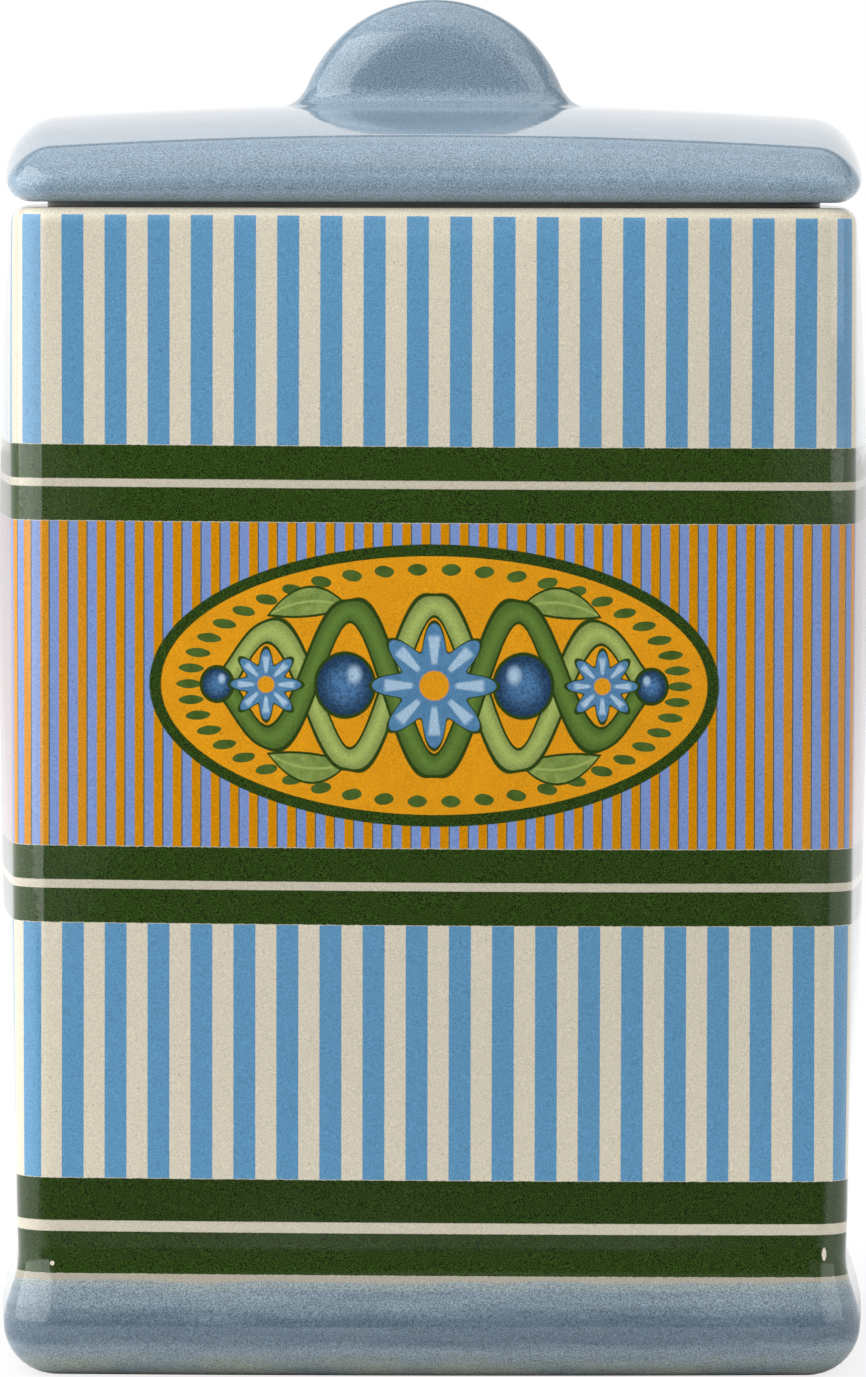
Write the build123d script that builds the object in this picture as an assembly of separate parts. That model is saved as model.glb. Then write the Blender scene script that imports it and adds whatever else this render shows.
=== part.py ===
from build123d import *
import os
from math import cos, radians, sin, sqrt

# Square stoneware storage jar with a lift-off lid and a silicone seal, in millimetres
# The origin is the middle of the face that the jar stands on, +Z is up and the front faces -Y

# Outside of the jar: half widths to the sharp corner, bows of the sides and corner radii
jar_height = 144.0  # standing face to rim
waist_half = 50.95  # just above the foot, where the jar is narrowest
waist_height = 13.8
waist_bow = 1.3
foot_flare = 1.6  # how far the foot stands out from the waist
foot_widest_height = 7.0  # top of the foot's widest line, which starts where its round ends
foot_bow = 1.6
foot_corner = 7.2
foot_round = 6.4  # edge between the foot's side and the standing face
rim_half = 51.65
rim_bow = 1.4
belly_bow = 3.6  # at the height where the sides swell most
wall_corner = 5.2
rim_outer_round = 1.9

# How the sides swell between waist and rim: share of the height, share of the belly's bow
belly_shares = (
    (0.04, 0.08),
    (0.13, 0.40),
    (0.30, 0.82),
    (0.47, 0.98),
    (0.64, 1.0),
    (0.80, 0.78),
    (0.92, 0.42),
)

# Inside of the jar and its standing face
wall = 6.0
floor_thickness = 6.0
hollow_corner = 5.6
hollow_floor_round = 5.0
rim_inner_bevel = 0.8
base_recess_depth = 1.4
base_recess_bevel = 0.9
foot_ring_width = 4.2  # flat ring that the jar stands on

# Lid: an edge band under a crown that is arched both ways, and a flange that drops into the mouth
lid_gap = 0.65  # rim to lid underside, filled by the seal's skirt
lid_half = 52.2
lid_bow = 1.6
lid_corner = 5.8
lid_top_inset = 1.5  # how much narrower the band ends, under the crown
crown_height = 12.15  # over the lid's underside, as is the height of the knob's centre
crown_radius_across = 700.0  # of the crown's arch from side to side
crown_radius_along = 300.0  # of its arch from front to back
shoulder_round = 4.8
lid_lower_round = 3.0  # the lid is widest where this ends
lid_wall = 5.4
lid_hollow_bevel = 1.8
flange_depth = 9.0
flange_wall = 4.2
flange_fit = 1.6  # mouth wall to flange
flange_tip_bevel = 1.0

# Knob: an upright half disc with full edges, cast hollow in one with the lid
knob_radius = 17.3
knob_centre_height = 8.2
knob_thickness = 15.0
knob_edge_round = 6.2
knob_base_round = 2.5
knob_wall = 4.6
knob_hollow_bevel = 1.5

# Seal: a ring whose rib sits in the flange's groove, with two fins and the skirt that carries the lid
seal_band = 0.7
seal_drop = 6.8  # lid underside to the seal's lower edge
seal_rib_depth = 1.0
seal_rib_height = 2.8
seal_rib_drop = 2.2
seal_fin_thickness = 0.9
seal_fin_clearance = 0.3
seal_fin_drops = (3.2, 5.6)  # lid underside to the tip of each fin
skirt_inset = 4.4  # rim's outer edge to the skirt's

overrun = 1.0  # how far a cutting body passes the face that it cuts
round_steps = 3  # outlines after the first in each rounded edge of a lofted form

foot_half = waist_half + foot_flare
lid_base = jar_height + lid_gap
crown_top = lid_base + crown_height
mouth_half = rim_half - wall


def pillow(half, bow, corner):
    """A square outline with bowed sides and round corners, centred on the Z axis."""
    side = ThreePointArc((-half, -half), (0, -half - bow), (half, -half))
    sides = [side.rotate(Axis.Z, 90 * turn) for turn in range(4)]
    return fillet(make_face(sides).vertices(), corner)


def mouth_outline(inset):
    """The mouth's outline, or one parallel to it: each arc keeps its centre and loses the inset."""
    side_radius = (mouth_half**2 + rim_bow**2) / (2 * rim_bow)
    centre = mouth_half + rim_bow - side_radius
    half = (centre + sqrt(2 * (side_radius - inset) ** 2 - centre**2)) / 2
    return pillow(half, mouth_half + rim_bow - inset - half, hollow_corner - inset)


def arc_steps(radius):
    """Points on a quarter arc, as how far each lies in from the side and in from the end face."""
    angles = [radians(90 * step / round_steps) for step in range(round_steps + 1)]
    return [(radius * (1 - cos(angle)), radius * (1 - sin(angle))) for angle in angles]


def wall_sections(inset, corner):
    """Outlines from the waist to the last height below the rim, or drawn in to the hollow."""
    sections = []
    for height_share, bow_share in [(0, 0), *belly_shares]:
        height = waist_height + (jar_height - waist_height) * height_share
        half = waist_half + (rim_half - waist_half) * height_share
        edge_bow = waist_bow + (rim_bow - waist_bow) * height_share
        bow = edge_bow + (belly_bow - edge_bow) * bow_share
        sections.append(Pos(0, 0, height) * pillow(half - inset, bow, corner))
    return sections


def rounded_sections(half, bow, corner, radius, end_height, side):
    """Outlines that round the edge between a wall and its end face; side is 1 below and -1 above."""
    sections = []
    for inset, rise in arc_steps(radius):
        outline = pillow(half - inset, bow, corner - inset)
        sections.append(Pos(0, 0, end_height + side * rise) * outline)
    return sections


def outer_form():
    """The outside of the jar: rounded foot, waist, swelling belly and rounded rim."""
    foot = rounded_sections(foot_half, foot_bow, foot_corner, foot_round, 0, 1)[::-1]
    widest = Pos(0, 0, foot_widest_height) * pillow(foot_half, foot_bow, foot_corner)
    rim = rounded_sections(rim_half, rim_bow, wall_corner, rim_outer_round, jar_height, -1)
    return loft([*foot, widest, *wall_sections(0, wall_corner), *rim])


def hollow_form():
    """The space inside, rounded at the floor, with its way out through the mouth."""
    half = waist_half - wall
    round_size = hollow_floor_round
    floor = rounded_sections(half, waist_bow, hollow_corner, round_size, floor_thickness, 1)[::-1]
    mouth = Pos(0, 0, jar_height) * mouth_outline(0)
    space = loft([*floor, *wall_sections(wall, hollow_corner), mouth])
    return space + extrude(mouth, overrun)


def base_recess():
    """The shallow hollow under the floor, which leaves a ring to stand on."""
    half = foot_half - foot_round - foot_ring_width
    recess = extrude(pillow(half, foot_bow, foot_corner), base_recess_depth)
    return chamfer(recess.faces().sort_by(Axis.Z)[-1].edges(), base_recess_bevel)


def jar_body():
    """The slip-cast jar."""
    jar = outer_form() - hollow_form() - base_recess()
    rim_face = jar.faces().filter_by(Axis.Z).sort_by(Axis.Z)[-1]
    return chamfer(rim_face.inner_wires()[0].edges(), rim_inner_bevel)


def crown(top):
    """A large ring, lying on its side, whose top is the crown arched both ways."""
    ring = Torus(crown_radius_across - crown_radius_along, crown_radius_along)
    return Pos(0, 0, top - crown_radius_across) * Rot(90, 0, 0) * ring


def lid_shell():
    """The outside of the lid without its knob: a rounded underside, the band and the crown."""
    low = rounded_sections(lid_half, lid_bow, lid_corner, lid_lower_round, lid_base, 1)[::-1]
    narrow = pillow(lid_half - lid_top_inset, lid_bow, lid_corner)
    band = loft([low[-1], Pos(0, 0, crown_top + overrun) * narrow], ruled=True) & crown(crown_top)
    band = fillet(band.faces().filter_by(GeomType.TORUS)[0].edges(), shoulder_round)
    return loft(low) + band


def knob_disc(radius, thickness):
    """An upright disc across the middle of the lid."""
    centre = Pos(0, 0, lid_base + knob_centre_height)
    return centre * Rot(90, 0, 0) * Cylinder(radius, thickness)


def knob():
    """The knob's outside: a disc with full round edges, whose lower part ends inside the lid."""
    disc = knob_disc(knob_radius, knob_thickness)
    return fillet(disc.edges().filter_by(GeomType.CIRCLE), knob_edge_round)


def lid_hollow():
    """The space under the crown and between the flange walls, and the one inside the knob."""
    inner_half = mouth_half - flange_fit - flange_wall
    low = lid_base - flange_depth - overrun
    outline = Pos(0, 0, low) * pillow(inner_half, rim_bow, hollow_corner)
    space = extrude(outline, crown_top - low) & crown(crown_top - lid_wall)
    space = chamfer(space.faces().filter_by(GeomType.TORUS)[0].edges(), lid_hollow_bevel)
    slot = knob_disc(knob_radius - knob_wall, knob_thickness - 2 * knob_wall)
    return space + chamfer(slot.edges().filter_by(GeomType.CIRCLE), knob_hollow_bevel)


def seal_groove():
    """The groove round the flange that the seal's rib sits in."""
    ring = mouth_outline(flange_fit - overrun) - mouth_outline(flange_fit + seal_rib_depth)
    top = lid_base - seal_rib_drop
    return extrude(Pos(0, 0, top) * ring, -seal_rib_height)


def lid():
    """The slip-cast lid: crowned shell, knob and flange in one."""
    shell = lid_shell() + knob()
    crown_face = shell.faces().filter_by(GeomType.TORUS).sort_by(SortBy.AREA)[-1]
    shell = fillet(crown_face.inner_wires()[0].edges(), knob_base_round)
    flange = extrude(Pos(0, 0, lid_base) * mouth_outline(flange_fit), -flange_depth)
    flange = chamfer(flange.faces().sort_by(Axis.Z)[0].edges(), flange_tip_bevel)
    return shell + flange - lid_hollow() - seal_groove()


def seal_section():
    """The seal's profile: x outwards from the flange's wall, y up from the lid's underside."""
    skirt_reach = flange_fit + wall - skirt_inset
    fin_reach = flange_fit - seal_fin_clearance
    fins = []
    for drop in seal_fin_drops:
        fins += [
            (seal_band, seal_fin_thickness / 2 - drop),
            (fin_reach, -drop),
            (seal_band, -seal_fin_thickness / 2 - drop),
        ]
    rib_low = -seal_rib_drop - seal_rib_height
    points = [
        (0, 0),
        (skirt_reach, 0),
        (skirt_reach, -lid_gap),
        (seal_band, -lid_gap),
        *fins,
        (seal_band, -seal_drop),
        (0, -seal_drop),
        (0, rib_low),
        (-seal_rib_depth, rib_low),
        (-seal_rib_depth, -seal_rib_drop),
        (0, -seal_rib_drop),
    ]
    return make_face(Polyline(*points, close=True))


def sealing_ring():
    """The silicone ring: its profile swept once round the flange."""
    path = (Pos(0, 0, lid_base) * mouth_outline(flange_fit)).wire()
    start = path.edges().sort_by(Axis.Y)[0]
    middle = start @ 0.5
    across = Plane(origin=middle, x_dir=(0, -1, 0), z_dir=(-1, 0, 0))
    return sweep(across * seal_section(), path=path)


if __name__ == "__main__":
    os.makedirs("parts", exist_ok=True)
    pieces = {"jar_body": jar_body(), "lid": lid(), "sealing_ring": sealing_ring()}
    for name, piece in pieces.items():
        piece.label = name
        export_step(piece, f"parts/{name}.step")
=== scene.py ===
from math import atan2, cos, pi, radians, sin, sqrt

import bpy
import numpy as np
from mathutils import Euler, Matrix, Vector


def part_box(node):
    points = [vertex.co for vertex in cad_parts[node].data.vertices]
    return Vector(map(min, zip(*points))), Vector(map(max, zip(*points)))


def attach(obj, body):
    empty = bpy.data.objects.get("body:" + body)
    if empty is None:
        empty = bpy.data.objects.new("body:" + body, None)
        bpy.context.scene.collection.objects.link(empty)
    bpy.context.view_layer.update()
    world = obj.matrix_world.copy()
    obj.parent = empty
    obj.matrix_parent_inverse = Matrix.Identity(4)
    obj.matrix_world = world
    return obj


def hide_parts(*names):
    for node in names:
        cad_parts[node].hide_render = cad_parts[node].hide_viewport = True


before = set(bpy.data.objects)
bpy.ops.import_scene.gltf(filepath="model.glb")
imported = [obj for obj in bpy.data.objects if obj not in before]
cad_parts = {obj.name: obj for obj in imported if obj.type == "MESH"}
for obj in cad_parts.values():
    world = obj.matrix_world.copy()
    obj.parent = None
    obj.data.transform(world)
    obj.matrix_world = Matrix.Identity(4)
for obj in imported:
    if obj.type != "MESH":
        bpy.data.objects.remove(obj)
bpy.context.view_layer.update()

# Looks of a glazed square stoneware jar with a domed lid and a silicone seal
# Lengths are in millimetres, apart from those of the floor and the lamps, which are in metres

MM = 0.001

# Outside of the jar: half widths to the sharp corner, bows of the sides and corner radii
jar_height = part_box("jar_body")[1].z / MM
waist_half = 50.95
waist_height = 13.8
waist_bow = 1.3
foot_flare = 1.6
foot_widest_height = 7.0
foot_bow = 1.6
foot_corner = 7.2
foot_round = 6.4
rim_half = 51.65
rim_bow = 1.4
belly_bow = 3.58  # a little under the CAD's, so that no point passes its box
wall_corner = 5.2
rim_outer_round = 1.9
belly_shares = (
    (0.04, 0.08),
    (0.13, 0.40),
    (0.30, 0.82),
    (0.47, 0.98),
    (0.64, 1.0),
    (0.80, 0.78),
    (0.92, 0.42),
)

# Inside of the jar and its standing face
wall = 6.0
floor_thickness = 6.0
hollow_corner = 5.6
hollow_floor_round = 5.0
rim_inner_round = 0.8
base_recess_depth = 1.4
base_recess_round = 0.8
foot_ring_width = 4.2

# Lid, its flange and its knob
flange_depth = 9.0
lid_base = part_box("lid")[0].z / MM + flange_depth
lid_half = 52.2
lid_bow = 1.6
lid_corner = 5.8
lid_top_inset = 1.5
crown_height = 12.15
crown_radius_across = 700.0
crown_radius_along = 300.0
band_overrun = 1.0  # how far over the crown's top the band's lean ends
shoulder_round = 4.8
lid_lower_round = 3.0
lid_wall = 5.4
lid_hollow_round = 1.8
flange_wall = 4.2
flange_fit = 1.6
knob_radius = 17.3
knob_centre_height = 8.2
knob_thickness = 15.0
knob_edge_round = 6.2
knob_base_round = 2.5
knob_wall = 4.6
knob_hollow_round = 1.5

# Seal
lid_gap = lid_base - jar_height
seal_band = 0.7
seal_drop = 6.8
seal_rib_depth = 1.0
seal_rib_height = 2.8
seal_rib_drop = 2.2
seal_fin_thickness = 0.9
seal_fin_clearance = 0.3
seal_fin_drops = (3.2, 5.6)
skirt_inset = 4.4
seal_edge_round = 0.12
clay_edge_round = 0.35  # of the standing ring and the flange

foot_half = waist_half + foot_flare
mouth_half = rim_half - wall
crown_top = lid_base + crown_height
knob_centre = lid_base + knob_centre_height

# Decoration fired onto the jar: heights from its base, and widths measured round it
rim_line = 142.95  # bare cream above, stripes below
upper_band = (105.5, 109.65, 110.65, 114.8)  # green, cream, green
middle_band = (56.15, 60.35, 61.4, 65.55)
lower_band = (12.8, 18.0, 19.35, 24.6)
bands = ((upper_band, 1.0), (middle_band, 0.95), (lower_band, 0.78))  # and their green's brightness, darker lower down as painted shade
band_line_tone = 0.86  # brightness of the cream line in a band
bare_tone = 0.52  # and of the cream under the lowest one
foot_line = 12.05  # blue glaze below
foot_edge_soft = 0.3
foot_top_sheen = (0.9, 0.5)  # how far under that line a pale band of painted reflection reaches, and how softly
# how much of that painted reflection is mixed in
foot_top_sheen_share = 0.6
foot_wear = (2.6, 1.4)  # clay shows through the glaze below, and how softly
foot_wear_share = (0.35, 0.8)
foot_sheen_bands = ((1.4, 4.3, 0.65), (7.4, 8.9, 0.25), (8.9, 14.0, 0.7))  # pale bands of painted reflection round the foot: from, to and how pale
foot_sheen_soft = 0.7
print_shift = 0.15  # the decoration sits a little to the right of the middle
print_tilt = 0.3  # and slopes down to the right by this much at a corner
print_soft = 0.05  # half the width of a print's soft edge
wide_stripe_pitch = 5.287  # a blue and a cream stripe
wide_stripe_count = 78  # round the jar
print_length = wide_stripe_pitch * wide_stripe_count
wide_stripe_shift = 0.56  # middle of the cream stripe nearest the middle of the front
fine_stripe_pitch = print_length / 176  # an orange and a pale blue stripe
fine_stripe_shift = 0.1
fine_stripe_share = 0.46  # orange part of a pair
wide_blue_half = 1.35  # half the width of a blue stripe
fine_line_width = 0.13  # dark line along the orange
panel_middle = 85.6
panel_reach = 34.95  # half width of the oval panel
panel_rise = 17.3
panel_border = 1.45
panel_soft = 0.003  # of its edges, as a share of its size
band_fringe = 0.06  # cream left bare beside a green band
grain_size = 0.17  # of the fine speckle in each glaze
grain_margin = 0.28  # share of that noise that is cut off at either end
green_grain_size = 0.15
speck_share = 0.5  # how much the dark specks darken the lid
lid_edge_light = (0.8, 4.6)  # painted light on the lid's lower edge, over its underside: full below the first height, none above the second
# how much the painted light brightens the glaze at the lid's lower edge
lid_edge_light_tone = 1.75
glaze_drops = ((48.2, 15.6, 0.35, 0.9), (-46.9, 14.0, 0.3, 0.3))  # place, height and half sizes

# Ornament of the panel: a braid with a berry or a rosette in each eye, and beads
braid_eye = 10.4  # from crossing to crossing
braid_height = 9.8  # of each wave in the middle
braid_taper = 27.4  # where the waves would be flat
braid_width = 2.3
braid_edge = 0.36
braid_reach = 26.0
braid_tone = (1.15, 0.75)  # in the middle of a strand and at its edge
ornament_soft = 0.06  # half the width of a drawn line's soft edge
berries_placed = ((10.9, 3.7), (26.6, 1.9))  # place and radius
berry_width = 0.92  # as a share of its height
berry_edge = 0.45
berry_soft = 0.03  # and of its soft edge, as a share of its size
gloss_place = (0.3, -0.35)  # of a berry's pale spot, as shares of its radius
gloss_size = (0.26, 0.34)
rosette_radius = 7.6
rosette_petals = 8
rosette_edge = 0.45
petal_swing = 0.22  # of the petals' reach, as a share of the radius
petal_soft = 0.12
vein_reach = (0.35, 0.8)  # from and to, as shares of the radius
heart_share = 0.24
side_rosette_place = 20.6
side_rosette_radius = 4.3
leaf_place = (15.4, 10.2)
leaf_reach = 5.2
leaf_rise = 2.0
leaf_turn = 0.10  # how much a leaf bends down outwards
leaf_edge = (0.05, 0.35)  # its dark line, from and to
leaf_vein = 0.16
bead_count = 46
bead_places = (0.85, 0.945)  # share of the way from the middle to the field's edge
bead_taper = 1.3

# Camera, in millimetres, and light, in metres
photo_width = 866  # pixels
camera_focal = 10560.0  # pixels
camera_distance = 1345.0
camera_height = 151.5
camera_pitch = 0.0513  # downwards, in radians
camera_roll = 0.1  # degrees
soft_light = (0.15, 0.85)  # of the surround on dull surfaces, from below and from above
soft_light_rise = (-0.2, 0.7)  # sine of the angle upwards between the two
least_ahead = 0.001  # keeps the tangents below from a division by zero
front_dark_width = (0.22, 0.34)  # tangent of the angle to either side
front_dark_rise = (0.22, 0.40)  # tangent of the angle upwards
front_dark = 0.93
wall_width = (0.9, 1.6)  # the same for the dim wall round the dark
wall_rise = (1.2, 2.0)
wall_dark = 0.6
back_strip = (0.42, 0.64)  # sine of the angle upwards
back_strip_soft = 0.03
back_strip_start = 0.05  # how far behind the jar it starts
back_dark = 0.9
floor_reach = (-0.5, 4.0, 3.5)  # front, back and either side
floor_dim = (-0.10, -0.05)  # where the floor in front stops giving back light
floor_unseen = (-0.15, -0.09)  # and where gloss stops showing it
floor_dark = (0.02, 0.02, 0.02, 1)
floor_least = 0.12
floor_white = (0.86, 0.86, 0.86, 1)
floor_glow = 0.8
floor_clearance = 0.05  # millimetres under the standing ring
lamp_aim = (0, 0, 0.1)
lamps = (  # name, place, width, height and watts
    ("left_box", (-1.8, -0.8, 0.9), 3.6, 3.2, 86.0),
    ("right_box", (1.9, -0.9, 0.9), 1.8, 1.8, 13.0),
    ("top_box", (0, -0.22, 1.0), 1.6, 0.8, 2.5),
)

# How finely the meshes are divided
side_steps = 20  # from the middle of a side to its corner
corner_steps = 16
round_steps = 9
ring_size = 4 * (2 * side_steps + corner_steps)
wall_ring_step = 1.5
liner_rings = 40
recess_shares = (0.2, 0.6, 0.9)  # of the way out to the recess's edge
floor_shares = (0.8, 0.4, 0.1)  # of the way out to the floor's edge
knob_rings = 40
knob_fillet_places = (0.5, 0.8, 1.2, 1.7, 2.3, 3.0)  # out from the knob, over its fillet
fillet_rise = 0.4  # slope of the first guess over that fillet
crown_rings = 26
band_shares = (0.33, 0.67, 1)  # of the way down the lid's band
band_clearance = 0.6  # between the shoulder's last ring and the lid's widest line
ceiling_shares = (0.3, 0.6, 0.9)  # of the way up the lid's hollow
ceiling_rings = 11
slot_rings = 16
root_clearance = 0.05  # between the lid's underside and the flange's first and last ring
cap_start = 0.012  # share of a cap's turn at which its first ring lies


def add_object(name, data):
    thing = bpy.data.objects.new(name, data)
    bpy.context.scene.collection.objects.link(thing)
    return thing


# Outlines and their rings of points


def arc_sizes(half, bow, corner):
    """A bowed side's radius, how far its centre lies past the middle, and the corner's centre."""
    radius = (half**2 + bow**2) / (2 * bow)
    middle = radius - half - bow
    return radius, middle, (sqrt(2 * (radius - corner) ** 2 - middle**2) - middle) / 2


def pillow_ring(half, bow, corner, height):
    """Points round a bowed square, from the middle of the back by way of -X."""
    radius, middle, corner_centre = arc_sizes(half, bow, corner)
    turn = atan2(corner_centre, corner_centre + middle)
    side = turn * np.arange(side_steps) / side_steps
    arc = turn + (pi / 2 - 2 * turn) * np.arange(corner_steps) / corner_steps
    rest = turn * (1 - np.arange(side_steps) / side_steps)
    x = [radius * np.sin(side), corner_centre + corner * np.sin(arc)]
    y = [middle - radius * np.cos(side), -corner_centre - corner * np.cos(arc)]
    x = np.concatenate([*x, radius * np.cos(rest) - middle])
    y = np.concatenate([*y, -radius * np.sin(rest)])
    quarters = [(-x, -y), (y, -x), (x, y), (-y, x)]
    ring = np.concatenate([np.stack(quarter, axis=1) for quarter in quarters])
    return np.column_stack([ring, np.full(ring_size, height)])


def inset_outline(half, bow, corner, inset):
    """The outline parallel to a bowed square: each arc keeps its centre and loses the inset."""
    radius = (half**2 + bow**2) / (2 * bow)
    middle = half + bow - radius
    inner = (middle + sqrt(2 * (radius - inset) ** 2 - middle**2)) / 2
    return inner, half + bow - inset - inner, corner - inset


def mouth_ring(inset, height):
    """A ring parallel to the mouth's outline."""
    return pillow_ring(*inset_outline(mouth_half, rim_bow, hollow_corner, inset), height)


def quarter_arc(radius):
    """Points from an end face to a wall: how far each lies in from the wall and from the face."""
    angles = np.linspace(0, pi / 2, round_steps + 1)
    return [(radius * (1 - sin(angle)), radius * (1 - cos(angle))) for angle in angles]


def round_rings(outline, radius, end_height, side):
    """Rings that round the edge between an end face and a wall; side is 1 below and -1 above."""
    rings = []
    for inset, rise in quarter_arc(radius):
        rings.append(pillow_ring(*inset_outline(*outline, inset), end_height + side * rise))
    return rings


def smooth_curve(keys, height):
    """The values at a height on smooth curves through rows of (height, value, ...)."""
    keys = np.array(keys)
    heights, values = keys[:, 0], keys[:, 1:]
    slopes = np.gradient(values, heights, axis=0)
    low = min(max(np.searchsorted(heights, height) - 1, 0), len(heights) - 2)
    span = heights[low + 1] - heights[low]
    t = (height - heights[low]) / span
    start = (2 * t**3 - 3 * t**2 + 1) * values[low] + (t**3 - 2 * t**2 + t) * span * slopes[low]
    end = (3 * t**2 - 2 * t**3) * values[low + 1] + (t**3 - t**2) * span * slopes[low + 1]
    return start + end


def soften(points, radius, steps=3):
    """A closed profile whose corners are cut to small curves."""
    softened = []
    points = np.array(points, float)
    for before, corner, after in zip(np.roll(points, 1, 0), points, np.roll(points, -1, 0)):
        sides = [other - corner for other in (before, after)]
        lengths = [np.linalg.norm(side) for side in sides]
        reach = min(radius, *(0.4 * length for length in lengths))
        start, end = (corner + side * reach / size for side, size in zip(sides, lengths))
        for t in np.linspace(0, 1, steps + 1):
            softened.append((1 - t) ** 2 * start + 2 * t * (1 - t) * corner + t**2 * end)
    return softened


# Meshes from rings


def ring_faces(first, second):
    """Quads between two rings of vertex numbers."""
    after = np.roll(np.arange(ring_size), -1)
    return [(first + i, first + after[i], second + after[i], second + i) for i in range(ring_size)]


def make_mesh(name, rings, capped, shares=None):
    """A closed mesh from rings: capped at both ends, or joined from the last ring to the first."""
    points = np.concatenate(rings)
    count = len(rings)
    faces = []
    for ring in range(count - 1):
        faces += ring_faces(ring * ring_size, (ring + 1) * ring_size)
    if capped:
        tips = [rings[0].mean(axis=0), rings[-1].mean(axis=0)]
        points = np.concatenate([points, tips])
        first, last = count * ring_size, count * ring_size + 1
        base = (count - 1) * ring_size
        for i in range(ring_size):
            after = (i + 1) % ring_size
            faces.append((first, after, i))
            faces.append((last, base + i, base + after))
    else:
        faces += ring_faces((count - 1) * ring_size, 0)
    mesh = bpy.data.meshes.new(name)
    mesh.from_pydata((points * MM).tolist(), [], faces)
    mesh.polygons.foreach_set("use_smooth", np.ones(len(faces), bool))
    return add_object(name, mesh)


# The jar


def wall_keys():
    """The outside of the wall by height: half width, bow and corner radius."""
    keys = [(foot_round, foot_half, foot_bow, foot_corner)]
    keys.append((foot_widest_height, foot_half, foot_bow, foot_corner))
    for height_share, bow_share in [(0, 0), *belly_shares, (1, 0)]:
        height = waist_height + (jar_height - waist_height) * height_share
        half = waist_half + (rim_half - waist_half) * height_share
        edge_bow = waist_bow + (rim_bow - waist_bow) * height_share
        keys.append((height, half, edge_bow + (belly_bow - edge_bow) * bow_share, wall_corner))
    return keys


def jar_rings():
    """Rings from the middle of the underside, up outside and over the rim to the floor inside."""
    keys = wall_keys()
    recess_half = foot_half - foot_round - foot_ring_width
    recess = (recess_half, foot_bow, foot_corner)
    top = pillow_ring(*recess, base_recess_depth)
    rings = [top * (share, share, 1) for share in recess_shares]
    rings += round_rings(recess, base_recess_round, base_recess_depth, -1)
    rings.append(pillow_ring(*recess, clay_edge_round))
    rings.append(pillow_ring(recess_half + clay_edge_round, foot_bow, foot_corner, 0))
    rings += round_rings((foot_half, foot_bow, foot_corner), foot_round, 0, 1)
    for height in np.arange(foot_round + 1, jar_height - rim_outer_round - 0.5, wall_ring_step):
        rings.append(pillow_ring(*smooth_curve(keys, height), height))
    rings += round_rings((rim_half, rim_bow, wall_corner), rim_outer_round, jar_height, -1)[::-1]
    lip = pillow_ring(mouth_half, rim_bow, hollow_corner, jar_height)
    outwards = rings[-1] - lip
    rings.append(lip + outwards * rim_inner_round / wall)
    for angle in np.linspace(pi / 10, pi / 2, 5):
        drop = rim_inner_round * (1 - cos(angle))
        reach = rim_inner_round * (1 - sin(angle)) / wall
        rings.append(lip + outwards * reach - (0, 0, drop))
    inner_keys = [(height, half - wall, bow, hollow_corner) for height, half, bow, _ in keys[2:]]
    low = floor_thickness + hollow_floor_round
    for height in np.linspace(jar_height - 2 * rim_inner_round, low + 1, liner_rings):
        at = max(height, waist_height)
        rings.append(pillow_ring(*smooth_curve(inner_keys, at), height))
    floor = (waist_half - wall, waist_bow, hollow_corner)
    rings += round_rings(floor, hollow_floor_round, floor_thickness, 1)[::-1]
    last = rings[-1]
    return rings + [last * (share, share, 1) for share in floor_shares]


def wrap_map(piece, rings):
    """A UV map of millimetres: along each ring from the middle of the front, and up.

    On the rear half it is stretched a little, so that the decoration's ends meet behind.
    """
    along = []
    for ring in rings:
        closed = np.concatenate([ring, ring[:1]])
        length = np.concatenate([[0], np.cumsum(np.linalg.norm(np.diff(closed, axis=0), axis=1))])
        quarter = length[-1] / 4
        away = length - 2 * quarter
        beyond = np.maximum(np.abs(away) - quarter, 0)
        along.append(away + np.sign(away) * beyond * (print_length / 2 / quarter - 2))
    along += [along[0], along[-1]]
    layer = piece.data.uv_layers.new(name="Wrap")
    heights = np.array([vertex.co.z for vertex in piece.data.vertices]) / MM
    tips = len(rings) * ring_size
    values = []
    for face in piece.data.polygons:
        columns = [vertex % ring_size for vertex in face.vertices if vertex < tips]
        seam = max(columns) - min(columns) > ring_size / 2
        for vertex in face.vertices:
            column = vertex % ring_size if vertex < tips else min(columns)
            row = vertex // ring_size if vertex < tips else len(rings) + vertex - tips
            if seam and column < ring_size / 2:
                column += ring_size
            values += [along[row][column], heights[vertex]]
    layer.data.foreach_set("uv", values)


# The lid: rings set on a smooth surface that blends the shell and the knob


def round_meet(first, second, radius):
    """Where two solids meet inside both, with the edge rounded."""
    beyond = np.hypot(np.maximum(first + radius, 0), np.maximum(second + radius, 0))
    return np.minimum(-radius, np.maximum(first, second)) + beyond


def round_join(first, second, radius):
    """Two solids together, with the inner corner between them rounded."""
    within = np.hypot(np.maximum(radius - first, 0), np.maximum(radius - second, 0))
    return np.maximum(radius, np.minimum(first, second)) - within


def outline_distance(points, half, bow, corner):
    """How far points lie outside a bowed square, seen from above."""
    radius, middle, corner_centre = arc_sizes(half, bow, corner)
    x = np.abs(points[:, :2]).max(axis=1)
    y = np.abs(points[:, :2]).min(axis=1)
    side = np.hypot(x + middle, y) - radius
    round_corner = np.hypot(x - corner_centre, y - corner_centre) - corner
    on_side = y * (corner_centre + middle) <= corner_centre * (x + middle)
    return np.where(on_side, side, round_corner)


def crown_level(points, top):
    """The height of the crown, which is arched both ways, over or under each point."""
    arch = np.sqrt(crown_radius_along**2 - points[:, 1] ** 2)
    tube = crown_radius_across - crown_radius_along + arch
    return top - crown_radius_across + np.sqrt(tube**2 - points[:, 0] ** 2)


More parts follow.
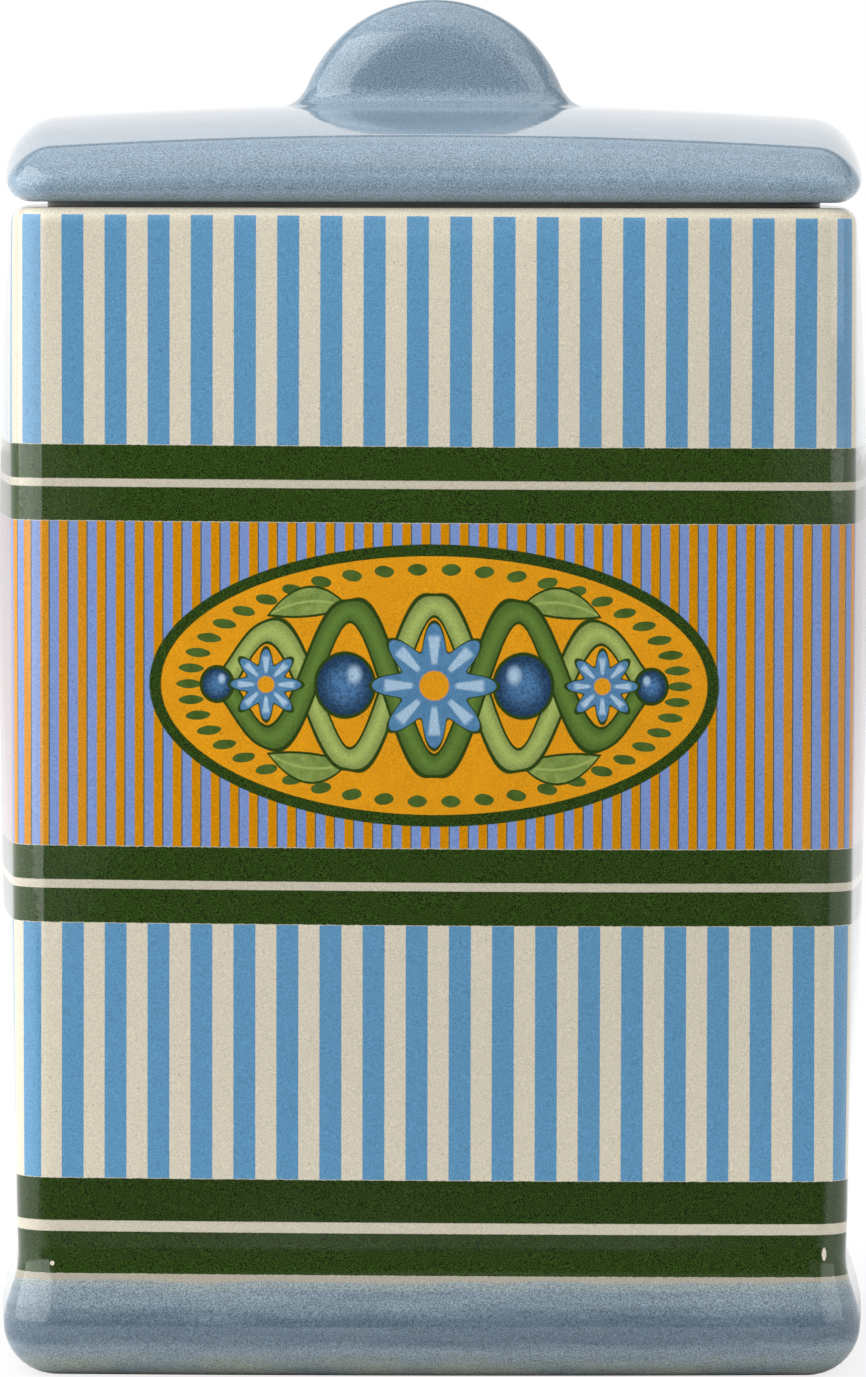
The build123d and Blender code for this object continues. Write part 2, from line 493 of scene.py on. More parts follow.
def disc_distance(points, radius, thickness, edge_round):
    """How far points lie outside an upright disc with rounded edges."""
    across = np.hypot(points[:, 0], points[:, 2] - knob_centre) - (radius - edge_round)
    through = np.abs(points[:, 1]) - (thickness / 2 - edge_round)
    outside = np.hypot(np.maximum(across, 0), np.maximum(through, 0))
    return np.minimum(np.maximum(across, through), 0) + outside - edge_round


def knob_distance(points):
    return disc_distance(points, knob_radius, knob_thickness, knob_edge_round)


def knob_hollow_distance(points):
    radius = knob_radius - knob_wall
    return disc_distance(points, radius, knob_thickness - 2 * knob_wall, knob_hollow_round)


def lid_distance(points):
    """How far points lie outside the lid's shell and knob, without the flange."""
    taper = lid_top_inset / (crown_height + band_overrun - lid_lower_round)
    above = np.maximum(points[:, 2] - lid_base - lid_lower_round, 0)
    side = outline_distance(points, lid_half, lid_bow, lid_corner) + taper * above
    x, y, z = (points - (0, 0, crown_top - crown_radius_across)).T
    tube = np.hypot(x, z) - (crown_radius_across - crown_radius_along)
    shell = round_meet(side, np.hypot(tube, y) - crown_radius_along, shoulder_round)
    shell = round_meet(shell, lid_base - points[:, 2], lid_lower_round)
    return round_join(shell, knob_distance(points), knob_base_round)


def settle(points, distance, rounds=12, reach=1e-4, flattest=1e-6):
    """Moves points onto the surface where a distance is zero, by Newton's method."""
    for _ in range(rounds):
        slopes = []
        for axis in np.eye(3) * reach:
            slopes.append((distance(points + axis) - distance(points - axis)) / (2 * reach))
        gradient = np.stack(slopes, axis=1)
        size = np.maximum((gradient**2).sum(axis=1), flattest)
        points = points - gradient * (distance(points) / size)[:, None]
    return points


def ray_ring(centre, directions, distance, longest=60.0, halvings=40):
    """Where rays from inside a solid leave it."""
    low = np.zeros(len(directions))
    high = np.full(len(directions), longest)
    for _ in range(halvings):
        middle = (low + high) / 2
        inside = distance(centre + directions * middle[:, None]) < 0
        low = np.where(inside, middle, low)
        high = np.where(inside, high, middle)
    return centre + directions * low[:, None]


def cap_rings(centre, distance, lowest_rise, count):
    """Rings over a rounded form, from its top down to a small rise at its foot."""
    around = pi / 2 + 2 * pi * np.arange(ring_size) / ring_size
    flat = np.column_stack([np.cos(around), np.sin(around), np.zeros(ring_size)])
    foot = ray_ring(centre, flat, distance)
    reach = np.linalg.norm(foot - centre, axis=1)
    lowest = np.arctan2(lowest_rise, reach)
    rings = []
    for share in np.linspace(cap_start, 1, count):
        elevation = pi / 2 + (lowest - pi / 2) * share
        directions = flat * np.cos(elevation)[:, None]
        directions[:, 2] = np.sin(elevation)
        rings.append(ray_ring(centre, directions, distance))
    return rings, foot


def lid_top_rings():
    """Rings from the top of the knob over the crown, shoulder and band to the underside."""
    centre = np.array((0, 0, crown_top))
    rings, foot = cap_rings(centre, knob_distance, 0.7 * knob_base_round, knob_rings)
    outwards = (foot - centre) / np.linalg.norm(foot - centre, axis=1)[:, None]
    edge = pillow_ring(lid_half - lid_top_inset, lid_bow, lid_corner, 0)
    for out in knob_fillet_places:
        ring = foot + outwards * out
        rings.append(ring + (0, 0, fillet_rise * max(knob_base_round - out, 0)))
    inner = foot + outwards * knob_fillet_places[-1]
    outer = edge * (1 - shoulder_round / lid_half)
    for share in np.linspace(0, 1, crown_rings + 1)[1:]:
        ring = inner + (outer - inner) * share
        ring[:, 2] = crown_level(ring, crown_top)
        rings.append(ring)
    end_height = lid_base + lid_lower_round + band_clearance
    for inset, drop in quarter_arc(shoulder_round)[1:]:
        ring = edge * (1 - inset / lid_half)
        level = crown_level(ring, crown_top)
        ring[:, 2] = level - (level - end_height) * drop / shoulder_round
        rings.append(ring)
    shoulder_end = rings[-1]
    widest = pillow_ring(lid_half, lid_bow, lid_corner, lid_base + lid_lower_round)
    rings += [shoulder_end + (widest - shoulder_end) * share for share in band_shares]
    for inset, rise in quarter_arc(lid_lower_round)[::-1][1:]:
        flat = inset_outline(lid_half, lid_bow, lid_corner, inset)
        rings.append(pillow_ring(*flat, lid_base + rise))
    return [settle(ring, lid_distance) for ring in rings[:-1]] + rings[-1:]


def flange_profile():
    """The flange's section, outer root to inner root: inset from the mouth, and height."""
    outer = flange_fit
    groove = flange_fit + seal_rib_depth
    groove_top = lid_base - seal_rib_drop
    groove_end = groove_top - seal_rib_height
    tip = lid_base - flange_depth
    inner = flange_fit + flange_wall
    corners = [(outer, lid_base), (outer, groove_top), (groove, groove_top), (groove, groove_end)]
    corners += [(outer, groove_end), (outer, tip), (inner, tip), (inner, lid_base)]
    softened = soften(corners, clay_edge_round)
    return [point for point in softened if point[1] <= lid_base - root_clearance]


def lid_rings():
    """Rings over the whole lid: top, underside, flange, hollow and the slot in the knob."""
    rings = lid_top_rings()
    root = mouth_ring(flange_fit, lid_base)
    edge = rings[-1]
    rings += [edge + (root - edge) * share for share in (0.5, 0.9)]
    rings += [mouth_ring(inset, height) for inset, height in flange_profile()]
    inner = mouth_ring(flange_fit + flange_wall, 0)
    ceiling_top = crown_top - lid_wall
    for share in ceiling_shares:
        ring = inner.copy()
        ceiling = crown_level(ring, ceiling_top) - lid_hollow_round
        ring[:, 2] = lid_base + (ceiling - lid_base) * share
        rings.append(ring)
    for inset, drop in quarter_arc(lid_hollow_round)[::-1]:
        ring = inner * (1 - inset / mouth_half)
        ring[:, 2] = crown_level(ring, ceiling_top) - drop
        rings.append(ring)
    centre = np.array((0, 0, ceiling_top))
    slot, foot = cap_rings(centre, knob_hollow_distance, 0.3, slot_rings)
    outer = rings[-1]
    for share in np.linspace(0, 1, ceiling_rings + 1)[1:]:
        ring = outer + (foot - outer) * share
        ring[:, 2] = crown_level(ring, ceiling_top)
        rings.append(ring)
    return rings + slot[::-1]


def seal_rings():
    """The seal's section carried round the flange."""
    skirt_reach = flange_fit + wall - skirt_inset
    fin_reach = flange_fit - seal_fin_clearance
    rib_low = -seal_rib_drop - seal_rib_height
    corners = [(0, 0), (skirt_reach, 0), (skirt_reach, -lid_gap), (seal_band, -lid_gap)]
    for drop in seal_fin_drops:
        corners += [(seal_band, seal_fin_thickness / 2 - drop), (fin_reach, -drop)]
        corners.append((seal_band, -seal_fin_thickness / 2 - drop))
    corners += [(seal_band, -seal_drop), (0, -seal_drop), (0, rib_low)]
    corners += [(-seal_rib_depth, rib_low), (-seal_rib_depth, -seal_rib_drop), (0, -seal_rib_drop)]
    points = soften(corners, seal_edge_round)
    return [mouth_ring(flange_fit - reach, lid_base + rise) for reach, rise in points]


# Materials


def paint(red, green, blue):
    """A colour given as it looks on a screen, 0 to 255, as Blender's linear one."""
    shares = [value / 255 for value in (red, green, blue)]
    linear = [((v + 0.055) / 1.055) ** 2.4 if v > 0.04045 else v / 12.92 for v in shares]
    return (*linear, 1)


cream = paint(220, 212, 192)
stripe_blue = paint(96, 150, 189)
leaf_green = paint(45, 68, 20)
orange = paint(210, 139, 0)
pale_blue = paint(124, 150, 206)
dark_line = paint(70, 84, 40)
ochre = paint(230, 157, 24)
pale_leaf = paint(158, 176, 96)
mid_leaf = paint(92, 122, 52)
berry_blue = paint(74, 116, 160)
berry_dark = paint(34, 62, 92)
berry_light = paint(170, 200, 224)
glaze_blue = paint(122, 141, 156)
foot_blue = paint(86, 104, 119)
foot_pale = paint(126, 142, 151)
foot_sheen_colour = paint(146, 156, 155)
foot_lower = paint(134, 140, 124)
clay = paint(205, 196, 178)
milky = paint(140, 141, 136)


class Nodes:
    """A node tree, with sums and masks written as calls."""

    def __init__(self, tree):
        self.tree = tree

    def new(self, kind):
        return self.tree.nodes.new(kind)

    def join(self, value, socket):
        if isinstance(value, bpy.types.NodeSocket):
            self.tree.links.new(value, socket)
        else:
            socket.default_value = value

    def sum(self, kind, first, second=0.0, third=0.0):
        node = self.new("ShaderNodeMath")
        node.operation = kind
        for value, socket in zip((first, second, third), node.inputs):
            self.join(value, socket)
        return node.outputs[0]

    def add(self, first, second):
        return self.sum("ADD", first, second)

    def less(self, first, second):
        return self.sum("SUBTRACT", first, second)

    def times(self, first, second):
        return self.sum("MULTIPLY", first, second)

    def shifted(self, value, amount):
        linked = isinstance(value, bpy.types.NodeSocket)
        return self.add(value, amount) if linked else value + amount

    def above(self, value, edge, soft):
        """1 where the value is over the edge and 0 under it, with a soft step between."""
        return self.spread(value, self.shifted(edge, -soft), self.shifted(edge, soft), 0.0, 1.0)

    def below(self, value, edge, soft):
        return self.spread(value, self.shifted(edge, -soft), self.shifted(edge, soft), 1.0, 0.0)

    def between(self, value, low, high, soft):
        return self.times(self.above(value, low, soft), self.below(value, high, soft))

    def spread(self, value, low, high, new_low, new_high):
        """The value's range from low to high, as a smooth step to a new range."""
        node = self.new("ShaderNodeMapRange")
        node.interpolation_type = "SMOOTHSTEP"
        for item, socket in zip((value, low, high, new_low, new_high), node.inputs):
            self.join(item, socket)
        return node.outputs[0]

    def tone(self, noise, low, high, margin=0.3):
        """A value from low to high that follows a noise, with a margin cut off at both its ends."""
        return self.spread(noise, margin, 1 - margin, low, high)

    def length(self, x, y):
        return self.sum("SQRT", self.add(self.times(x, x), self.times(y, y)))

    def size(self, value):
        """The value without its sign."""
        return self.sum("ABSOLUTE", value)

    def mix(self, share, first, second):
        node = self.new("ShaderNodeMix")
        node.data_type = "RGBA"
        self.join(share, node.inputs["Factor"])
        self.join(first, node.inputs["A"])
        self.join(second, node.inputs["B"])
        return node.outputs["Result"]

    def parts(self, vector):
        node = self.new("ShaderNodeSeparateXYZ")
        self.join(vector, node.inputs[0])
        return node.outputs

    def coordinates(self, kind):
        return self.new("ShaderNodeTexCoord").outputs[kind]


class Coat(Nodes):
    """A material of one gloss, and the textures on it."""

    def __init__(self, name, roughness, ior=1.5):
        self.material = bpy.data.materials.new(name)
        self.material.use_nodes = True
        super().__init__(self.material.node_tree)
        self.shader = self.tree.nodes["Principled BSDF"]
        self.shader.inputs["Roughness"].default_value = roughness
        self.shader.inputs["IOR"].default_value = ior
        self.place = self.coordinates("Object")

    def shade(self, colour, brightness):
        """A colour made lighter or darker by a factor."""
        node = self.new("ShaderNodeVectorMath")
        node.operation = "SCALE"
        self.join(colour[:3] if isinstance(colour, tuple) else colour, node.inputs[0])
        self.join(brightness, node.inputs["Scale"])
        return node.outputs[0]

    def noise(self, size, stretch=(1, 1, 1), detail=2.0, roughness=0.5):
        """Noise whose patches are about as large as the size, in millimetres."""
        scaled = self.new("ShaderNodeMapping")
        scaled.inputs["Scale"].default_value = [1 / axis for axis in stretch]
        self.join(self.place, scaled.inputs["Vector"])
        node = self.new("ShaderNodeTexNoise")
        self.join(scaled.outputs[0], node.inputs["Vector"])
        node.inputs["Scale"].default_value = 1 / (size * MM)
        node.inputs["Detail"].default_value = detail
        node.inputs["Roughness"].default_value = roughness
        return node.outputs["Fac"]

    def wobble(self, size, amount):
        """Noise about zero, up to about the amount each way."""
        return self.times(self.less(self.noise(size), 0.5), 3 * amount)

    def grain(self):
        return self.noise(grain_size, detail=1)

    def bump(self, height, depth, before=None):
        """A bump whose height of 0 to 1 stands for a depth in millimetres."""
        node = self.new("ShaderNodeBump")
        node.inputs["Distance"].default_value = depth * MM
        self.join(height, node.inputs["Height"])
        if before:
            self.join(before, node.inputs["Normal"])
        return node.outputs[0]

    def cast_skin(self, cast_size, cast_depth, skin_size, skin_depth):
        """The broad unevenness of a casting under the fine one of its glaze."""
        cast = self.bump(self.noise(cast_size, detail=1), cast_depth)
        return self.bump(self.noise(skin_size), skin_depth, cast)

    def finish(self, colour, normal=None):
        self.join(colour, self.shader.inputs["Base Color"])
        if normal:
            self.join(normal, self.shader.inputs["Normal"])
        return self.material


def ellipse(coat, across, up, reach, rise):
    """How far out a point lies in an ellipse: 1 on its edge."""
    return coat.length(coat.times(across, 1 / reach), coat.times(up, 1 / rise))


def rosette(coat, across, up, place, radius):
    """Masks of a rosette's petals, its pale veins and its heart."""
    x = coat.less(across, place)
    out = coat.length(x, up)
    wave = coat.sum("COSINE", coat.times(coat.sum("ARCTAN2", up, x), rosette_petals))
    edge = coat.times(coat.add(coat.times(wave, petal_swing), 1 - petal_swing), radius)
    petal = coat.below(out, edge, petal_soft)
    along = coat.between(out, *(radius * share for share in vein_reach), 0.3)
    vein = coat.times(coat.above(wave, 0.55, 0.25), along)
    heart = coat.below(out, radius * heart_share, petal_soft)
    return petal, vein, heart


def braid(coat, across, up, colour):
    """Two waves that cross, each a strand with dark edges, lower towards the ends."""
    within = coat.below(coat.size(across), braid_reach, 0.1)
    share = coat.times(across, 1 / braid_taper)
    fall = coat.sum("MAXIMUM", coat.less(1.0, coat.times(share, share)), 0.0)
    rise = coat.times(coat.sum("SQRT", fall), braid_height)
    turn = coat.times(coat.add(across, braid_eye / 2), pi / braid_eye)
    wave = coat.times(coat.sum("SINE", turn), rise)
    slope = coat.times(coat.times(coat.sum("COSINE", turn), rise), pi / braid_eye)
    steep = coat.length(slope, 1.0)
    half = braid_width / 2
    for side, fill in ((1, pale_leaf), (-1, mid_leaf)):
        off = coat.size(coat.less(up, coat.times(wave, side)))
        off = coat.sum("DIVIDE", off, steep)
        outer = coat.times(coat.below(off, half + braid_edge, ornament_soft), within)
        colour = coat.mix(outer, colour, leaf_green)
        inner = coat.times(coat.below(off, half, ornament_soft), within)
        strand = coat.shade(fill, coat.spread(off, 0.0, half, *braid_tone))
        colour = coat.mix(inner, colour, strand)
    return colour


def berries(coat, away, up, colour):
    """Berries with a pale gloss, in the braid's eyes and at its ends."""
    for place, radius in berries_placed:
        x = coat.less(away, place)
        out = ellipse(coat, x, up, radius * berry_width, radius)
        line = coat.below(out, 1 + berry_edge / radius, berry_soft)
        colour = coat.mix(line, colour, leaf_green)
        berry = coat.mix(coat.spread(out, 0.2, 1.0, 0.0, 1.0), berry_blue, berry_dark)
        berry = coat.shade(berry, coat.tone(coat.noise(0.3), 0.75, 1.3, 0.35))
        colour = coat.mix(coat.below(out, 1.0, berry_soft), colour, berry)
        gloss = [coat.add(side, radius * share) for side, share in zip((x, up), gloss_place)]
        spot = ellipse(coat, *gloss, *(radius * share for share in gloss_size))
        colour = coat.mix(coat.below(spot, 0.8, 0.5), colour, berry_light)
    return colour


def leaves(coat, away, up, colour):
    """Four leaves, over and under the outer crossings of the braid."""
    x = coat.less(away, leaf_place[0])
    y = coat.less(coat.size(up), leaf_place[1])
    square = coat.times(x, x)
    bend = coat.add(coat.times(square, leaf_turn / 2), coat.times(x, leaf_turn))
    off = coat.size(coat.add(y, bend))
    point = coat.less(1.0, coat.times(square, 1 / leaf_reach**2))
    half = coat.times(coat.sum("MAXIMUM", point, 0.0), leaf_rise)
    over = coat.less(off, half)
    body = coat.mix(coat.noise(1.2), mid_leaf, pale_leaf)
    for edge, fill in zip(leaf_edge, (leaf_green, body)):
        colour = coat.mix(coat.below(over, -edge, 0.05), colour, fill)
    vein = coat.times(coat.below(off, leaf_vein, ornament_soft), coat.above(half, 0.5, 0.1))
    return coat.mix(vein, colour, pale_leaf)


def beads(coat, across, up, colour):
    """Small berries in a ring along the field's edge."""
    across = coat.times(across, 1 / (panel_reach - panel_border))
    up = coat.times(up, 1 / (panel_rise - panel_border))
    wave = coat.sum("COSINE", coat.times(coat.sum("ARCTAN2", up, across), bead_count))
    low, high = bead_places
    off = coat.add(coat.length(across, up), -(low + high) / 2)
    off = coat.times(off, 2 / (high - low))
    taper = coat.times(coat.times(off, off), bead_taper)
    bead = coat.above(coat.less(wave, taper), -0.25, 0.10)
    return coat.mix(bead, colour, coat.mix(coat.noise(1.5), leaf_green, mid_leaf))


def panel_colour(coat, across, up, grain):
    """The oval panel's colours: an ochre field with a braid, berries, rosettes and beads."""
    away = coat.size(across)
    colour = coat.shade(ochre, coat.tone(coat.noise(4.0), 0.96, 1.04))
    colour = beads(coat, across, up, colour)
    colour = leaves(coat, away, up, colour)
    colour = braid(coat, across, up, colour)
    colour = berries(coat, away, up, colour)
    flowers = ((across, 0.0, rosette_radius), (away, side_rosette_place, side_rosette_radius))
    for place, middle, radius in flowers:
        petal, vein, heart = rosette(coat, place, up, middle, radius)
        rim = rosette(coat, place, up, middle, radius + rosette_edge)[0]
        colour = coat.mix(rim, colour, leaf_green)
        colour = coat.mix(petal, colour, coat.mix(coat.noise(0.7), berry_blue, stripe_blue))
        colour = coat.mix(vein, colour, berry_light)
        colour = coat.mix(heart, colour, ochre)
    return coat.shade(colour, coat.tone(grain, 0.85, 1.12, grain_margin))


def stripe_place(coat, across, pitch, shift):
    """Where a point lies in its pair of stripes, from 0 to 1."""
    start = coat.add(across, print_length - shift)
    return coat.sum("FRACT", coat.times(start, 1 / pitch))


def wide_stripes(coat, across, height, grain, ground):
    """Blue stripes on a ground, from the rim down."""
    pitch = wide_stripe_pitch
    place = stripe_place(coat, across, pitch, wide_stripe_shift)
    off = coat.times(coat.size(coat.less(place, 0.5)), pitch)
    below_rim = coat.below(height, rim_line, print_soft)
    mask = coat.times(coat.below(off, wide_blue_half, print_soft), below_rim)
    blue = coat.shade(stripe_blue, coat.tone(grain, 0.80, 1.20, grain_margin))
    return coat.mix(mask, ground, blue)


def fine_stripes(coat, across, grain):
    """Orange and pale blue stripes, with a dark line along each orange one."""
    pitch = fine_stripe_pitch
    place = stripe_place(coat, across, pitch, fine_stripe_shift)
    low, high = 0.5 - fine_stripe_share / 2, 0.5 + fine_stripe_share / 2
    soft = print_soft / pitch
    colour = coat.mix(coat.between(place, low, high, soft), pale_blue, orange)
    line = coat.between(place, high, high + fine_line_width / pitch, soft)
    colour = coat.mix(line, colour, dark_line)
    return coat.shade(colour, coat.tone(grain, 0.82, 1.18, grain_margin))


def add_bands(coat, height, colour, cream_glaze, green_glaze):
    """The green bands, each with a cream line in it and a bare fringe beside it."""
    rough = coat.add(height, coat.wobble(0.4, 0.07))
    for (low, line_low, line_high, high), brightness in bands:
        fringe = coat.between(rough, low - band_fringe, high + band_fringe, print_soft)
        colour = coat.mix(fringe, colour, cream_glaze)
        # painted shade: the green is darker on the lower bands
        green = coat.shade(green_glaze, brightness)
        colour = coat.mix(coat.between(rough, low, high, print_soft), colour, green)
        line = coat.between(height, line_low, line_high, print_soft)
        colour = coat.mix(line, colour, coat.shade(cream_glaze, band_line_tone))
    return colour


def add_panel(coat, across, height, grain, colour, green_glaze):
    """The oval panel in the middle of the front, in its green border."""
    up = coat.less(height, panel_middle)
    front = coat.below(coat.size(across), panel_reach + 5, print_soft)
    fill = panel_colour(coat, across, up, grain)
    for inset, ink in ((0, green_glaze), (panel_border, fill)):
        out = ellipse(coat, across, up, panel_reach - inset, panel_rise - inset)
        mask = coat.times(coat.below(out, 1.0, panel_soft), front)
        colour = coat.mix(mask, colour, ink)
    return colour


def foot_glaze(coat, height, edge):
    """Blue glaze brushed round the foot in streaks, with pale bands of painted reflection that
    leave darker ones between them, more painted reflection along its upper edge, and worn along its
    lower edge.
    """
    streaks = coat.noise(1.0, stretch=(14, 14, 1), detail=3, roughness=0.6)
    patches = coat.noise(4.0, stretch=(3, 3, 1))
    place = coat.add(height, coat.wobble(12.0, 0.5))
    share = coat.add(coat.tone(streaks, -0.14, 0.14), coat.tone(patches, -0.08, 0.08))
    # painted reflections: pale bands round the foot at given heights
    for low, high, strength in foot_sheen_bands:
        sheen_band = coat.between(place, low, high, foot_sheen_soft)
        share = coat.add(share, coat.times(sheen_band, strength))
    colour = coat.mix(coat.sum("MAXIMUM", share, 0.0), foot_blue, foot_pale)
    # painted reflection: a pale band along the upper edge of the foot glaze
    reach, soft = foot_top_sheen
    painted_light_edge = coat.times(coat.above(height, coat.add(edge, -reach), soft), foot_top_sheen_share)
    colour = coat.mix(painted_light_edge, colour, foot_sheen_colour)
    wear = coat.tone(patches, *foot_wear_share, 0.35)
    worn = coat.times(coat.below(height, *foot_wear), wear)
    colour = coat.mix(worn, colour, foot_lower)
    return coat.shade(colour, coat.tone(coat.grain(), 0.6, 1.4))


def decorated_glaze():
    """The jar's outside: fired stripes, bands and a panel under a clear gloss, and a blue foot."""
    coat = Coat("fired_stripes", 0.07)
    wrap = coat.new("ShaderNodeUVMap")
    wrap.uv_map = "Wrap"
    around, level, _ = coat.parts(wrap.outputs[0])
    across = coat.add(coat.add(around, -print_shift), coat.wobble(0.5, 0.018))
    turn = coat.times(across, 2 * pi / print_length)
    tilt = coat.times(coat.sum("SINE", turn), print_tilt)
    height = coat.add(coat.add(level, tilt), coat.wobble(0.5, 0.025))
    grain = coat.grain()
    cream_glaze = coat.shade(cream, coat.tone(grain, 0.84, 1.10, grain_margin))
    green_grain = coat.tone(coat.noise(green_grain_size, detail=1), 0.3, 1.7)
    green_glaze = coat.shade(leaf_green, green_grain)

    colour = wide_stripes(coat, across, height, grain, cream_glaze)
    zone = coat.between(height, middle_band[3], upper_band[0], print_soft)
    colour = coat.mix(zone, colour, fine_stripes(coat, across, grain))
    colour = add_bands(coat, height, colour, cream_glaze, green_glaze)
    colour = add_panel(coat, across, height, grain, colour, green_glaze)
    for place, middle, reach, rise in glaze_drops:
        drop = ellipse(coat, coat.add(across, -place), coat.add(height, -middle), reach, rise)
        colour = coat.mix(coat.below(drop, 0.9, 0.1), colour, cream_glaze)
    spots = coat.above(coat.noise(0.42, detail=0), 0.85, 0.02)
    colour = coat.mix(coat.times(spots, 0.4), colour, dark_line)

    under_bands = coat.below(height, lower_band[0], print_soft)
    colour = coat.mix(under_bands, colour, coat.shade(cream_glaze, bare_tone))
    edge = coat.add(foot_line, coat.wobble(9.0, 0.3))
    foot = coat.below(level, edge, foot_edge_soft)
    colour = coat.mix(foot, colour, foot_glaze(coat, level, edge))
    return coat.finish(colour, coat.cast_skin(30.0, 0.5, 1.3, 0.012))


def speckled_glaze(name, colour, depth, painted_light_edge=None):
    """A gloss glaze with a fine speckle, pale patches and dark specks, made lighter below two
    heights as painted light.
    """
    coat = Coat(name, 0.05)
    patches = coat.noise(5.0, stretch=(2, 2, 1), detail=3)
    tone = coat.tone(coat.grain(), 1 - depth, 1 + depth, grain_margin)
    tone = coat.times(tone, coat.tone(patches, 0.96, 1.04))
    # painted light: the glaze is made lighter towards the lid's lower edge
    if painted_light_edge:
        height = coat.times(coat.parts(coat.place)["Z"], 1 / MM)
        tone = coat.times(tone, coat.spread(height, *painted_light_edge, lid_edge_light_tone, 1.0))
    mixed = coat.shade(colour, tone)
    spots = coat.above(coat.noise(0.45, detail=0), 0.86, 0.02)
    mixed = coat.mix(coat.times(spots, speck_share), mixed, coat.shade(colour, 0.5))
    return coat.finish(mixed, coat.cast_skin(28.0, 0.3, 1.2, 0.01))


def bare_clay():
    coat = Coat("bare_clay", 0.85)
    tone = coat.tone(coat.noise(0.4, detail=4), 0.86, 1.06, 0.25)
    return coat.finish(coat.shade(clay, tone), coat.bump(coat.noise(0.3, detail=3), 0.04))


def silicone():
    coat = Coat("milky_silicone", 0.42, 1.41)
    tone = coat.tone(coat.noise(2.0), 0.95, 1.03)
    coat.shader.inputs["Subsurface Weight"].default_value = 0.25
    coat.shader.inputs["Subsurface Scale"].default_value = MM
    return coat.finish(coat.shade(milky, tone), coat.bump(coat.noise(0.5), 0.01))


# Pieces


def paint_rings(piece, materials, starts):
    """Gives each run of rings its material; starts holds the first ring of each run."""
    for material in materials:
        piece.data.materials.append(material)
    last_ring = len(piece.data.vertices) // ring_size - 1
    for face in piece.data.polygons:
        ring = min(face.vertices) // ring_size
        if len(face.vertices) == 3:
            ring = 0 if min(face.vertices) < ring_size else last_ring
        face.material_index = sum(ring >= start for start in starts) - 1


def add_jar():
    rings = jar_rings()
    jar = make_mesh("stoneware_jar", rings, capped=True)
    wrap_map(jar, rings)
    heights = [ring[0, 2] for ring in rings]
    ring_start = heights.index(0.0)
    outside = ring_start + 2
    inside = heights.index(jar_height) + 1
    glaze = decorated_glaze()
    liner = speckled_glaze("liner_glaze", cream, 0.08)
    paint_rings(jar, [bare_clay(), glaze, liner], [0, outside, inside])
    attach(jar, "jar")
    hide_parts("jar_body")


def add_lid():
    lid = make_mesh("domed_lid", lid_rings(), capped=True)
    # heights over which the lid's lower edge is painted lighter, as painted light from below
    painted_light_edge = [lid_base + rise for rise in lid_edge_light]
    lid.data.materials.append(speckled_glaze("blue_glaze", glaze_blue, 0.36, painted_light_edge))
    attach(lid, "lid")
    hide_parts("lid")


def add_seal():
    seal = make_mesh("silicone_seal", seal_rings(), capped=False)
    seal.data.materials.append(silicone())
    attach(seal, "lid")
    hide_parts("sealing_ring")


# Floor, light and camera


def angle_aside(nodes, x, y):
    """How far in front of the jar a point lies, and the tangent of its angle to either side."""
    ahead = nodes.sum("MAXIMUM", nodes.times(y, -1.0), least_ahead)
    return ahead, nodes.sum("DIVIDE", nodes.size(x), ahead)


def blend(nodes, share, first, second):
    """The first value where the share is 0, the second where it is 1."""
    return nodes.add(nodes.times(share, second), nodes.times(nodes.less(1.0, share), first))


def add_floor():
    """A pale floor, plain to the camera, that gives back and mirrors less in front of the jar."""
    front, back, side = floor_reach
    low = -floor_clearance * MM
    corners = [(-side, front, low), (side, front, low), (side, back, low), (-side, back, low)]
    mesh = bpy.data.meshes.new("floor")
    mesh.from_pydata(corners, [], [(0, 1, 2, 3)])
    floor = add_object("floor", mesh)
    coat = Coat("floor", 0.9)
    x, depth, _ = coat.parts(coat.place)
    _, aside = angle_aside(coat, x, depth)
    lit = coat.spread(depth, *floor_dim, floor_least, 1.0)
    near = coat.spread(depth, *floor_unseen, 0.0, 1.0)
    mirrored = coat.sum("MAXIMUM", near, coat.spread(aside, *wall_width, 0.0, 1.0))
    rays = coat.new("ShaderNodeLightPath").outputs
    pale = blend(coat, rays["Is Glossy Ray"], lit, mirrored)
    pale = coat.sum("MAXIMUM", pale, rays["Is Camera Ray"])
    coat.join(coat.mix(pale, floor_dark, floor_white), coat.shader.inputs["Base Color"])
    mix = coat.new("ShaderNodeMixShader")
    coat.join(coat.times(rays["Is Camera Ray"], floor_glow), mix.inputs[0])
    coat.join(coat.shader.outputs[0], mix.inputs[1])
    coat.join(coat.new("ShaderNodeEmission").outputs[0], mix.inputs[2])
    coat.join(mix.outputs[0], coat.tree.nodes["Material Output"].inputs["Surface"])
    mesh.materials.append(coat.material)


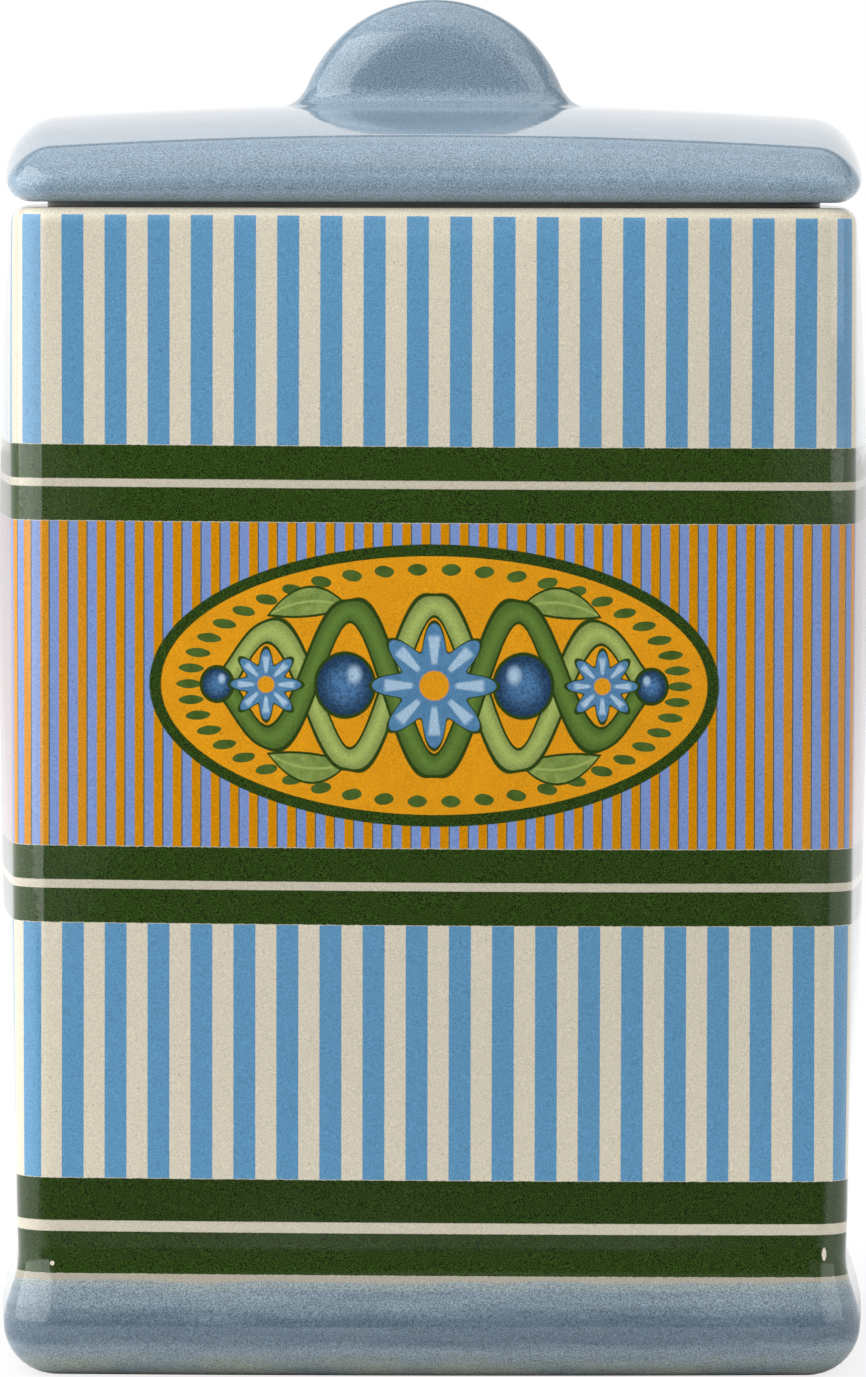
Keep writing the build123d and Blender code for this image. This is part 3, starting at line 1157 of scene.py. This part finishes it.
def add_surround():
    """White all round, dark in front as behind a camera, with a dim strip high at the back."""
    world = bpy.data.worlds.new("studio")
    bpy.context.scene.world = world
    world.use_nodes = True
    nodes = Nodes(world.node_tree)
    x, y, z = nodes.parts(nodes.coordinates("Generated"))
    ahead, aside = angle_aside(nodes, x, y)
    rise = nodes.sum("DIVIDE", z, ahead)
    narrow = nodes.spread(aside, *front_dark_width, front_dark, 0.0)
    shut = nodes.times(narrow, nodes.spread(rise, *front_dark_rise, 1.0, 0.0))
    broad = nodes.spread(aside, *wall_width, wall_dark, 0.0)
    wall = nodes.times(broad, nodes.spread(rise, *wall_rise, 1.0, 0.0))
    behind = nodes.above(y, back_strip_start, back_strip_start)
    strip = nodes.times(nodes.between(z, *back_strip, back_strip_soft), behind)
    dim = nodes.sum("MAXIMUM", nodes.sum("MAXIMUM", shut, wall), nodes.times(strip, back_dark))
    mirrored = nodes.less(1.0, dim)
    lit = nodes.times(nodes.less(1.0, shut), nodes.spread(z, *soft_light_rise, *soft_light))
    rays = nodes.new("ShaderNodeLightPath").outputs
    shown = nodes.sum("MAXIMUM", rays["Is Glossy Ray"], rays["Is Transmission Ray"])
    level = nodes.sum("MAXIMUM", blend(nodes, shown, lit, mirrored), rays["Is Camera Ray"])
    background = nodes.tree.nodes["Background"]
    nodes.join(level, background.inputs["Strength"])
    background.inputs["Color"].default_value = (1, 1, 1, 1)


def add_lamp(name, place, width, height, power):
    """A soft box turned towards the jar."""
    light = bpy.data.lights.new(name, "AREA")
    light.shape = "RECTANGLE"
    light.size = width
    light.size_y = height
    light.energy = power
    lamp = add_object(name, light)
    lamp.location = place
    lamp.rotation_euler = (Vector(lamp_aim) - Vector(place)).to_track_quat("-Z", "Y").to_euler()


def add_camera():
    camera = bpy.data.cameras.new("camera")
    camera.sensor_fit = "HORIZONTAL"
    camera.sensor_width = 36.0
    camera.lens = camera_focal * camera.sensor_width / photo_width
    view = add_object("camera", camera)
    view.location = (0, -camera_distance * MM, camera_height * MM)
    view.rotation_euler = Euler((pi / 2 - camera_pitch, 0, 0))
    view.rotation_euler.rotate_axis("Z", radians(camera_roll))
    bpy.context.scene.camera = view


add_jar()
add_lid()
add_seal()
add_floor()
add_surround()
for lamp in lamps:
    add_lamp(*lamp)
add_camera()
bpy.context.scene.view_settings.view_transform = "Standard"

bpy.context.view_layer.update()
